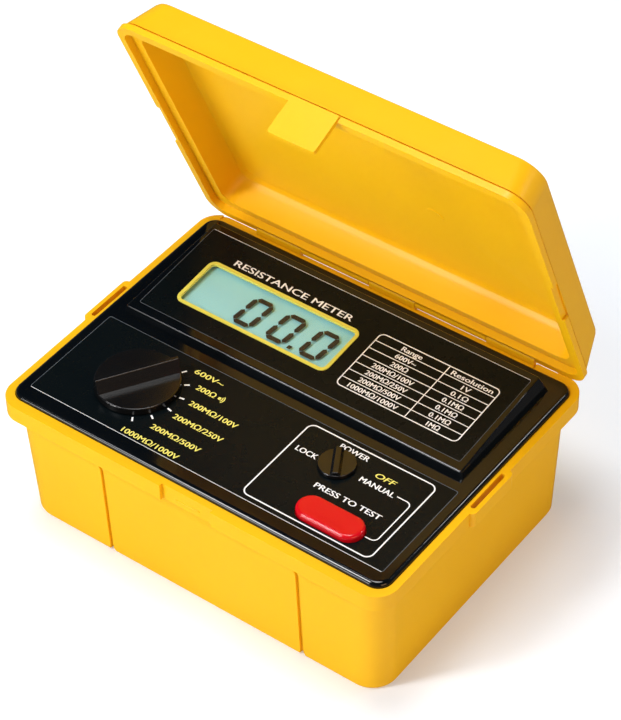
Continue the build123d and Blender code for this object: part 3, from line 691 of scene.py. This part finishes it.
# Name, outline, corner radius, plane and line width of each sheet's edge.
FILM_EDGES = (
    ("lower_film_edge", LOWER_FILM, LOWER_FILM_RADIUS, PANEL_PLANE, 0.26),
    ("upper_film_edge", UPPER_FILM, UPPER_FILM_RADIUS, DECK_PLANE, 0.22),
)
# The pale lines are painted highlights on two of the sheets' edges.
PALE_END = 0.4  # from a sheet's corner to the pale line's end
LOWER_PALE_LINE = 0.3
UPPER_PALE_LINE = 0.26


def film_edges():
    """The cut edges of the two printed sheets, with pale lines painted on as highlights where the edges catch the
    light.
    """
    for name, outline, radius, plane, width in FILM_EDGES:
        work = bmesh.new()
        points = rounded(outline, radius, FILM_CORNER_STEPS)
        add_ribbon(work, points, width, plane, closed=True)
        build(name, work, FILM_EDGE)
    work = bmesh.new()
    # Painted highlights: pale lines on the lower sheet's front edge and the upper sheet's back edge, where the
    # light catches them.
    left, front, right, _ = LOWER_FILM
    ends = [(left + PALE_END, front), (right - PALE_END, front)]
    add_ribbon(work, ends, LOWER_PALE_LINE, PANEL_PLANE, lift=INK)
    left, _, right, back = UPPER_FILM
    ends = [(left + PALE_END, back), (right - PALE_END, back)]
    add_ribbon(work, ends, UPPER_PALE_LINE, DECK_PLANE, lift=INK)
    build("painted_film_highlights", work, PAINTED_EDGE_HIGHLIGHT)


# ---------------------------------------------------------------- display

DIGIT_BASE = 15.7
DIGIT_TALL = 17.4
DIGIT_WIDE = 10.8
DIGIT_SLANT = 2.2 / 17.4
DIGIT_STROKE = 2.35
DIGIT_LEFTS = (-45.0, -27.6, -10.1)
SEGMENT_DEPTH = -1.55  # below the deck's printed side
SEGMENT_THICK = 0.03
SEGMENT_GAP = 0.22
POINT_LEFT = DIGIT_LEFTS[2] - 4.6
POINT_SIZE = 1.9
POINT_LEAN = 0.25

# The bars of a zero, from corner to corner, with x and y from 0 to 1.
ZERO_BARS = (
    ((0, 0), (1, 0)),
    ((0, 1), (1, 1)),
    ((0, 0), (0, 0.5)),
    ((0, 0.5), (0, 1)),
    ((1, 0), (1, 0.5)),
    ((1, 0.5), (1, 1)),
)


def segment(start, end):
    """A pointed bar between two corners of a digit."""
    a, b = Vector(start), Vector(end)
    along = (b - a).normalized()
    a, b = a + along * SEGMENT_GAP, b - along * SEGMENT_GAP
    tip = along * DIGIT_STROKE / 2
    side = Vector((-tip.y, tip.x))
    return [a, a + tip + side, b - tip + side, b, b - tip - side, a + tip - side]


def add_plate(work, outline):
    """Adds a thin closed plate in the display, with the given outline."""
    low, high = SEGMENT_DEPTH, SEGMENT_DEPTH + SEGMENT_THICK
    bottom = [work.verts.new(DECK_PLANE @ Vector((x, y, low))) for x, y in outline]
    top = [work.verts.new(DECK_PLANE @ Vector((x, y, high))) for x, y in outline]
    count = len(outline)
    turns = [outline[i - 1][0] * outline[i][1] - outline[i][0] * outline[i - 1][1] for i in range(count)]
    if sum(turns) < 0:
        bottom.reverse()
        top.reverse()
    work.faces.new(top)
    work.faces.new(bottom[::-1])
    for i in range(count):
        j = (i + 1) % count
        work.faces.new((bottom[i], bottom[j], top[j], top[i]))


def digit_corner(left, x, y):
    """A corner of a slanted digit, on the middle line of its strokes."""
    tall = DIGIT_STROKE / 2 + y * (DIGIT_TALL - DIGIT_STROKE)
    wide = DIGIT_STROKE / 2 + x * (DIGIT_WIDE - DIGIT_STROKE)
    return (left + wide + tall * DIGIT_SLANT, DIGIT_BASE + tall)


def display_digits():
    """Three slanted zeros and a point, held above the reflector so that they cast a shadow on it."""
    work = bmesh.new()
    for left in DIGIT_LEFTS:
        for start, end in ZERO_BARS:
            add_plate(work, segment(digit_corner(left, *start), digit_corner(left, *end)))
    x, y = POINT_LEFT, DIGIT_BASE
    top = y + POINT_SIZE
    add_plate(work, [(x, y), (x + POINT_SIZE, y), (x + POINT_SIZE + POINT_LEAN, top), (x + POINT_LEAN, top)])
    build("display_digits", work, SEGMENT)


# ---------------------------------------------------------------- studio

# The lens is for the picture's taller side, in millimetres.
SENSOR = 36.0
LENS = 137.76
NEAR_CLIP = 0.05
AZIMUTH = math.radians(37.614)
ELEVATION = math.radians(43.5)
ROLL = math.radians(-1.617)
DISTANCE = 1.1353
TARGET = Vector((0.00552, 0.0063, 0.08284))


def camera():
    """The viewing camera: in front, to the right and above."""
    ca, sa = math.cos(AZIMUTH), math.sin(AZIMUTH)
    ce, se = math.cos(ELEVATION), math.sin(ELEVATION)
    right = Vector((ca, sa, 0))
    back = Vector((sa * ce, -ca * ce, se))
    up = back.cross(right)
    x_axis = math.cos(ROLL) * right + math.sin(ROLL) * up
    y_axis = -math.sin(ROLL) * right + math.cos(ROLL) * up
    data = bpy.data.cameras.new("camera")
    data.sensor_width = SENSOR
    data.lens = LENS
    data.clip_start = NEAR_CLIP
    view = bpy.data.objects.new("camera", data)
    bpy.context.scene.collection.objects.link(view)
    turn = Matrix((x_axis, y_axis, back)).transposed()
    view.matrix_world = Matrix.Translation(TARGET + back * DISTANCE) @ turn.to_4x4()
    bpy.context.scene.camera = view


AIM = (0.0, 0.0, 0.06)
NEUTRAL = (1.0, 1.0, 1.0)
WARM = (1.0, 0.55, 0.25)
# Name, place, size, power and tint. All are aimed at the middle of the case.
SOFTBOXES = (
    ("key", (-0.66, -1.06, 1.3), (0.25, 0.9), 17.0, NEUTRAL),
    ("front", (-0.65, -1.45, 0.27), (0.5, 0.35), 6.0, NEUTRAL),
    ("fill", (1.3, -0.5, 0.7), (0.8, 0.6), 6.0, WARM),
    ("top", (-0.2, 0.1, 1.75), (0.7, 0.7), 17.0, NEUTRAL),
    ("rim", (0.85, 0.9, 1.02), (0.16, 0.16), 2.0, NEUTRAL),
)
SPOT_PLACE = (-0.35, -1.5, 0.22)
SPOT_AIM = (0.0, 0.11, 0.165)
SPOT_CONE_DEG = 8.5
SPOT_BLEND = 0.7
SPOT_SOFT = 0.08
SPOT_POWER = 26.0

FLOOR_HALF = 3.0
WALL_LIGHT = colour(0.42, 0.46, 0.52)
CEILING_LIGHT = colour(0.02, 0.045, 0.09)
WALL_TOP = 0.35  # sine of the elevation where the wall starts to fade
CEILING_FROM = 0.6
MIRRORED_LIGHT = 0.25  # the surround's strength as the glossy parts see it


def hang(data, name, place, aim):
    """Puts a lamp in its place, aimed at a point."""
    lamp = bpy.data.objects.new(name, data)
    bpy.context.scene.collection.objects.link(lamp)
    lamp.location = place
    lamp.rotation_euler = (Vector(aim) - Vector(place)).to_track_quat("-Z", "Y").to_euler()


def lamps():
    """Soft rectangular lights round the case, and a narrow one into the open lid."""
    for name, place, size, power, tint in SOFTBOXES:
        data = bpy.data.lights.new(name, "AREA")
        data.shape = "RECTANGLE"
        data.size, data.size_y = size
        data.energy = power
        data.color = tint
        hang(data, name, place, AIM)
    data = bpy.data.lights.new("lid", "SPOT")
    data.spot_size = math.radians(SPOT_CONE_DEG)
    data.spot_blend = SPOT_BLEND
    data.shadow_soft_size = SPOT_SOFT
    data.energy = SPOT_POWER
    hang(data, "lid", SPOT_PLACE, SPOT_AIM)


def floor_plane():
    """The floor that the case stands on."""
    work = bmesh.new()
    corners = ((-1, -1), (1, -1), (1, 1), (-1, 1))
    work.faces.new([work.verts.new((x * FLOOR_HALF, y * FLOOR_HALF, 0.0)) for x, y in corners])
    mesh = bpy.data.meshes.new("floor")
    work.to_mesh(mesh)
    work.free()
    floor = bpy.data.objects.new("floor", mesh)
    bpy.context.scene.collection.objects.link(floor)
    mesh.materials.append(floor_paint())


def surround():
    """Pale walls under a darker ceiling, both dimmed in reflections."""
    world = bpy.data.worlds.new("surround")
    bpy.context.scene.world = world
    world.use_nodes = True
    tree = world.node_tree
    background = tree.nodes["Background"]
    place = tree.nodes.new("ShaderNodeTexCoord")
    split = tree.nodes.new("ShaderNodeSeparateXYZ")
    ramp = tree.nodes.new("ShaderNodeValToRGB")
    ramp.color_ramp.elements[0].position = WALL_TOP
    ramp.color_ramp.elements[1].position = CEILING_FROM
    ramp.color_ramp.elements[0].color = WALL_LIGHT
    ramp.color_ramp.elements[1].color = CEILING_LIGHT
    tree.links.new(place.outputs["Generated"], split.inputs["Vector"])
    tree.links.new(split.outputs["Z"], ramp.inputs["Fac"])
    tree.links.new(ramp.outputs["Color"], background.inputs["Color"])
    ray = tree.nodes.new("ShaderNodeLightPath")
    dim = tree.nodes.new("ShaderNodeMapRange")
    dim.inputs["To Min"].default_value = 1.0
    dim.inputs["To Max"].default_value = MIRRORED_LIGHT
    tree.links.new(ray.outputs["Is Glossy Ray"], dim.inputs["Value"])
    tree.links.new(dim.outputs["Result"], background.inputs["Strength"])


# ---------------------------------------------------------------- assembly

MOULDING_EDGE = 0.45
COVER_EDGE = 0.25

camera()
dress_nodes()
soften("case_tub", MOULDING_EDGE)
soften("lid", MOULDING_EDGE)
soften("battery_cover", COVER_EDGE)
range_print()
power_print()
deck_print()
film_edges()
display_digits()
floor_plane()
surround()
lamps()
bpy.context.scene.view_settings.view_transform = "Standard"
